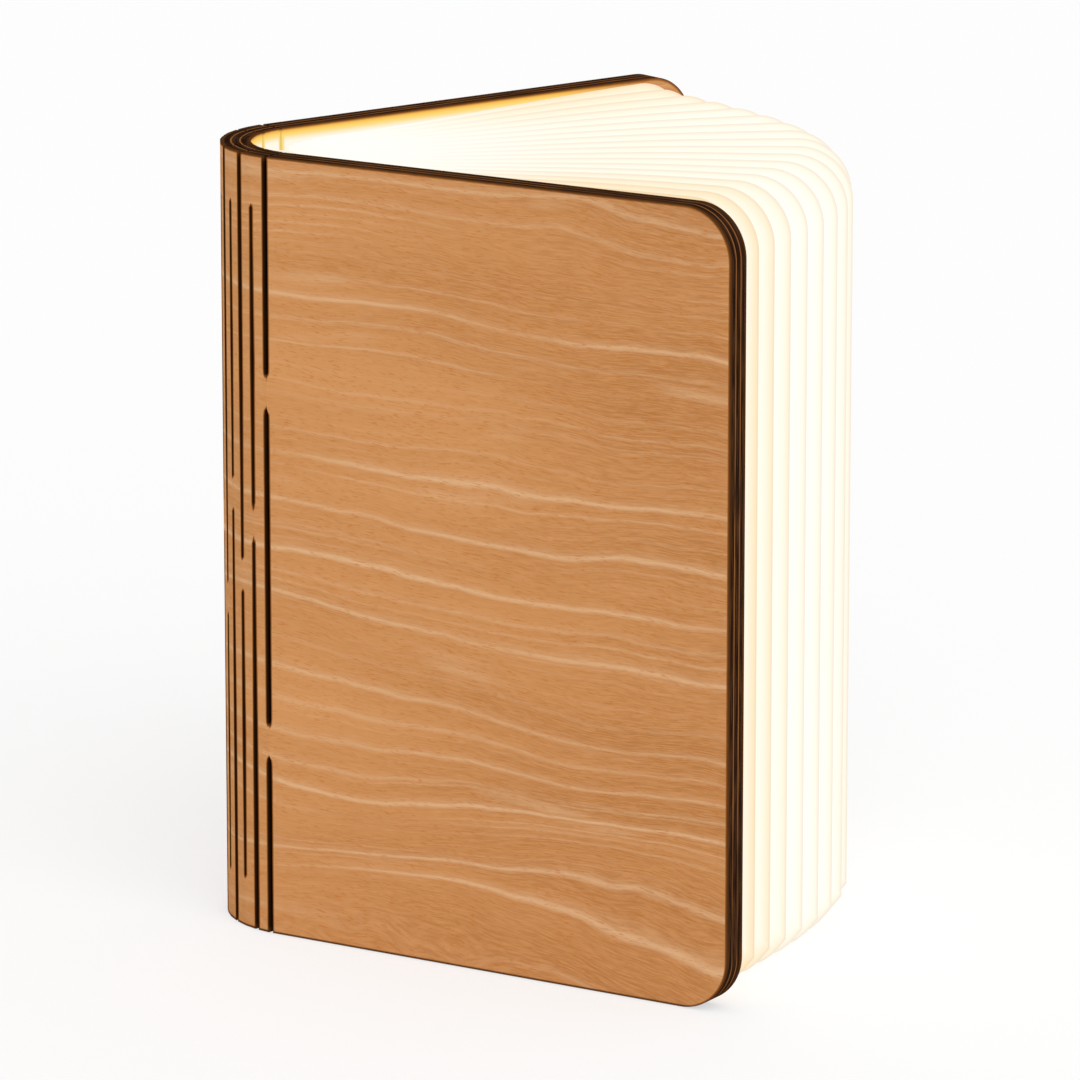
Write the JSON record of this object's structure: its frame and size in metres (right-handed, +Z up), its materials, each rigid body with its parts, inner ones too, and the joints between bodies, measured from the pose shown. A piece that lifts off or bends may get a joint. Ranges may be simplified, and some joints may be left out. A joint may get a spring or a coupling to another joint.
{
  "type": "folding book lamp",
  "caption": "Book-shaped lamp: plywood cover with a kerf-cut flexible spine, pleated translucent page bellows that fans open and a light unit in the spine.",
  "frame": {"origin": "centre of the bounding box's bottom, on the surface that the lamp stands on", "axes": "+Z up along the spine, +X from the spine towards the pages' fore edge, front cover at -Y and back cover at +Y"},
  "size_m": [0.097, 0.1216, 0.122],
  "materials": {
    "birch_ply": "satin",
    "page_paper": "matte translucent paper",
    "white_plastic": "matte",
    "opal_plastic": "frosted",
    "board_laminate": "solder mask",
    "steel": "polished",
    "battery_foil": "foil",
    "led_yellow": "phosphor",
    "reed_glass": "clear",
    "foam_tape": "matte",
    "wire_red": "matte"
  },
  "bodies": {
    "spine_core": {"spine_slat_centre": "birch_ply", "page_leaf_10": "page_paper", "light_housing": "white_plastic", "diffuser": "opal_plastic", "led_board": "board_laminate", "battery_cell": "battery_foil", "battery_lead_minus": "wire_red", "battery_lead_plus": "wire_red", "control_board": "board_laminate", "reed_switch": "reed_glass", "usb_socket": "steel", "top_end_cap": "white_plastic", "bottom_end_cap": "white_plastic", "mounting_tape": "foam_tape", "led_chip_1": "led_yellow", "led_chip_2": "led_yellow", "led_chip_3": "led_yellow", "led_chip_4": "led_yellow", "led_chip_5": "led_yellow", "led_chip_6": "led_yellow", "led_chip_7": "led_yellow", "led_chip_8": "led_yellow", "led_chip_9": "led_yellow"},
    "front_cover": {"front_board": "birch_ply", "front_end_sheet": "page_paper", "front_magnet_bottom": "steel", "front_magnet_top": "steel"},
    "page_09": {"page_leaf_09": "page_paper"},
    "page_08": {"page_leaf_08": "page_paper"},
    "page_07": {"page_leaf_07": "page_paper"},
    "page_06": {"page_leaf_06": "page_paper"},
    "page_05": {"page_leaf_05": "page_paper"},
    "page_04": {"page_leaf_04": "page_paper"},
    "page_03": {"page_leaf_03": "page_paper"},
    "page_02": {"page_leaf_02": "page_paper"},
    "page_01": {"page_leaf_01": "page_paper"},
    "front_slat_1": {"spine_slat_front_1": "birch_ply"},
    "front_slat_2": {"spine_slat_front_2": "birch_ply"},
    "front_slat_3": {"spine_slat_front_3": "birch_ply"},
    "front_slat_4": {"spine_slat_front_4": "birch_ply"},
    "front_slat_5": {"spine_slat_front_5": "birch_ply"},
    "back_cover": {"back_board": "birch_ply", "back_end_sheet": "page_paper", "back_magnet_bottom": "steel", "back_magnet_top": "steel", "sensor_magnet": "steel"},
    "page_11": {"page_leaf_11": "page_paper"},
    "page_12": {"page_leaf_12": "page_paper"},
    "page_13": {"page_leaf_13": "page_paper"},
    "page_14": {"page_leaf_14": "page_paper"},
    "page_15": {"page_leaf_15": "page_paper"},
    "page_16": {"page_leaf_16": "page_paper"},
    "page_17": {"page_leaf_17": "page_paper"},
    "back_slat_1": {"spine_slat_back_1": "birch_ply"},
    "back_slat_2": {"spine_slat_back_2": "birch_ply"},
    "back_slat_3": {"spine_slat_back_3": "birch_ply"},
    "back_slat_4": {"spine_slat_back_4": "birch_ply"},
    "back_slat_5": {"spine_slat_back_5": "birch_ply"}
  },
  "joints": [
    {"name": "front_fold", "type": "hinge", "parent": "spine_core", "child": "page_09", "pos_m": [-0.04613, -0.00084, 0], "axis": [0, 0, -1], "range_deg": [-3.94, 16.31]},
    {"name": "page_08_turn", "type": "hinge", "parent": "page_09", "child": "page_08", "pos_m": [-0.04595, -0.0025, 0], "axis": [0, 0, -1], "range_deg": [-3.85, 15.92]},
    {"name": "page_07_turn", "type": "hinge", "parent": "page_08", "child": "page_07", "pos_m": [-0.04561, -0.00409, 0], "axis": [0, 0, -1], "range_deg": [-3.75, 15.52]},
    {"name": "page_06_turn", "type": "hinge", "parent": "page_07", "child": "page_06", "pos_m": [-0.04512, -0.00559, 0], "axis": [0, 0, -1], "range_deg": [-3.66, 15.11]},
    {"name": "page_05_turn", "type": "hinge", "parent": "page_06", "child": "page_05", "pos_m": [-0.04449, -0.007, 0], "axis": [0, 0, -1], "range_deg": [-3.56, 14.71]},
    {"name": "page_04_turn", "type": "hinge", "parent": "page_05", "child": "page_04", "pos_m": [-0.04376, -0.00831, 0], "axis": [0, 0, -1], "range_deg": [-3.46, 14.31]},
    {"name": "page_03_turn", "type": "hinge", "parent": "page_04", "child": "page_03", "pos_m": [-0.04293, -0.00951, 0], "axis": [0, 0, -1], "range_deg": [-3.36, 13.91]},
    {"name": "page_02_turn", "type": "hinge", "parent": "page_03", "child": "page_02", "pos_m": [-0.04201, -0.01059, 0], "axis": [0, 0, -1], "range_deg": [-3.27, 13.5]},
    {"name": "page_01_turn", "type": "hinge", "parent": "page_02", "child": "page_01", "pos_m": [-0.04104, -0.01156, 0], "axis": [0, 0, -1], "range_deg": [-3.17, 13.1]},
    {"name": "front_cover_turn", "type": "hinge", "parent": "page_01", "child": "front_cover", "pos_m": [-0.04002, -0.01241, 0], "axis": [0, 0, -1], "range_deg": [-3.07, 12.7]},
    {"name": "front_kerf_1", "type": "hinge", "parent": "spine_core", "child": "front_slat_1", "pos_m": [-0.04615, -0.00125, 0], "axis": [0, 0, -1], "range_deg": [-5.84, 24.18]},
    {"name": "front_kerf_2", "type": "hinge", "parent": "front_slat_1", "child": "front_slat_2", "pos_m": [-0.04575, -0.00372, 0], "axis": [0, 0, -1], "range_deg": [-5.84, 24.18]},
    {"name": "front_kerf_3", "type": "hinge", "parent": "front_slat_2", "child": "front_slat_3", "pos_m": [-0.04496, -0.00609, 0], "axis": [0, 0, -1], "range_deg": [-5.84, 24.18]},
    {"name": "front_kerf_4", "type": "hinge", "parent": "front_slat_3", "child": "front_slat_4", "pos_m": [-0.04381, -0.00831, 0], "axis": [0, 0, -1], "range_deg": [-5.84, 24.18]},
    {"name": "front_kerf_5", "type": "hinge", "parent": "front_slat_4", "child": "front_slat_5", "pos_m": [-0.04232, -0.01031, 0], "axis": [0, 0, -1], "range_deg": [-5.84, 24.18]},
    {"name": "back_fold", "type": "hinge", "parent": "spine_core", "child": "page_11", "pos_m": [-0.04613, 0.00086, 0], "axis": [0, 0, 1], "range_deg": [-4.03, 16.72]},
    {"name": "page_12_turn", "type": "hinge", "parent": "page_11", "child": "page_12", "pos_m": [-0.04593, 0.0026, 0], "axis": [0, 0, 1], "range_deg": [-4.14, 17.13]},
    {"name": "page_13_turn", "type": "hinge", "parent": "page_12", "child": "page_13", "pos_m": [-0.04553, 0.00435, 0], "axis": [0, 0, 1], "range_deg": [-4.24, 17.53]},
    {"name": "page_14_turn", "type": "hinge", "parent": "page_13", "child": "page_14", "pos_m": [-0.04492, 0.00607, 0], "axis": [0, 0, 1], "range_deg": [-4.34, 17.93]},
    {"name": "page_15_turn", "type": "hinge", "parent": "page_14", "child": "page_15", "pos_m": [-0.04409, 0.00775, 0], "axis": [0, 0, 1], "range_deg": [-4.43, 18.34]},
    {"name": "page_16_turn", "type": "hinge", "parent": "page_15", "child": "page_16", "pos_m": [-0.04304, 0.00936, 0], "axis": [0, 0, 1], "range_deg": [-4.53, 18.74]},
    {"name": "page_17_turn", "type": "hinge", "parent": "page_16", "child": "page_17", "pos_m": [-0.04177, 0.01085, 0], "axis": [0, 0, 1], "range_deg": [-4.63, 19.14]},
    {"name": "back_cover_turn", "type": "hinge", "parent": "page_17", "child": "back_cover", "pos_m": [-0.04029, 0.01219, 0], "axis": [0, 0, 1], "range_deg": [-4.73, 19.54]},
    {"name": "back_kerf_1", "type": "hinge", "parent": "spine_core", "child": "back_slat_1", "pos_m": [-0.04615, 0.00125, 0], "axis": [0, 0, 1], "range_deg": [-5.84, 24.18]},
    {"name": "back_kerf_2", "type": "hinge", "parent": "back_slat_1", "child": "back_slat_2", "pos_m": [-0.04575, 0.00372, 0], "axis": [0, 0, 1], "range_deg": [-5.84, 24.18]},
    {"name": "back_kerf_3", "type": "hinge", "parent": "back_slat_2", "child": "back_slat_3", "pos_m": [-0.04496, 0.00609, 0], "axis": [0, 0, 1], "range_deg": [-5.84, 24.18]},
    {"name": "back_kerf_4", "type": "hinge", "parent": "back_slat_3", "child": "back_slat_4", "pos_m": [-0.04381, 0.00831, 0], "axis": [0, 0, 1], "range_deg": [-5.84, 24.18]},
    {"name": "back_kerf_5", "type": "hinge", "parent": "back_slat_4", "child": "back_slat_5", "pos_m": [-0.04232, 0.01031, 0], "axis": [0, 0, 1], "range_deg": [-5.84, 24.18]}
  ],
  "couplings": [
    {"joint": "page_08_turn", "follows": "front_fold", "ratio": 0.97531},
    {"joint": "page_07_turn", "follows": "front_fold", "ratio": 0.95062},
    {"joint": "page_06_turn", "follows": "front_fold", "ratio": 0.92593},
    {"joint": "page_05_turn", "follows": "front_fold", "ratio": 0.90124},
    {"joint": "page_04_turn", "follows": "front_fold", "ratio": 0.87654},
    {"joint": "page_03_turn", "follows": "front_fold", "ratio": 0.85185},
    {"joint": "page_02_turn", "follows": "front_fold", "ratio": 0.82716},
    {"joint": "page_01_turn", "follows": "front_fold", "ratio": 0.80247},
    {"joint": "front_cover_turn", "follows": "front_fold", "ratio": 0.77778},
    {"joint": "front_kerf_1", "follows": "front_fold", "ratio": 1.4815},
    {"joint": "front_kerf_2", "follows": "front_fold", "ratio": 1.4815},
    {"joint": "front_kerf_3", "follows": "front_fold", "ratio": 1.4815},
    {"joint": "front_kerf_4", "follows": "front_fold", "ratio": 1.4815},
    {"joint": "front_kerf_5", "follows": "front_fold", "ratio": 1.4815},
    {"joint": "page_12_turn", "follows": "back_fold", "ratio": 1.0241},
    {"joint": "page_13_turn", "follows": "back_fold", "ratio": 1.0482},
    {"joint": "page_14_turn", "follows": "back_fold", "ratio": 1.0723},
    {"joint": "page_15_turn", "follows": "back_fold", "ratio": 1.0964},
    {"joint": "page_16_turn", "follows": "back_fold", "ratio": 1.1205},
    {"joint": "page_17_turn", "follows": "back_fold", "ratio": 1.1446},
    {"joint": "back_cover_turn", "follows": "back_fold", "ratio": 1.1687},
    {"joint": "back_kerf_1", "follows": "back_fold", "ratio": 1.4458},
    {"joint": "back_kerf_2", "follows": "back_fold", "ratio": 1.4458},
    {"joint": "back_kerf_3", "follows": "back_fold", "ratio": 1.4458},
    {"joint": "back_kerf_4", "follows": "back_fold", "ratio": 1.4458},
    {"joint": "back_kerf_5", "follows": "back_fold", "ratio": 1.4458}
  ]
}
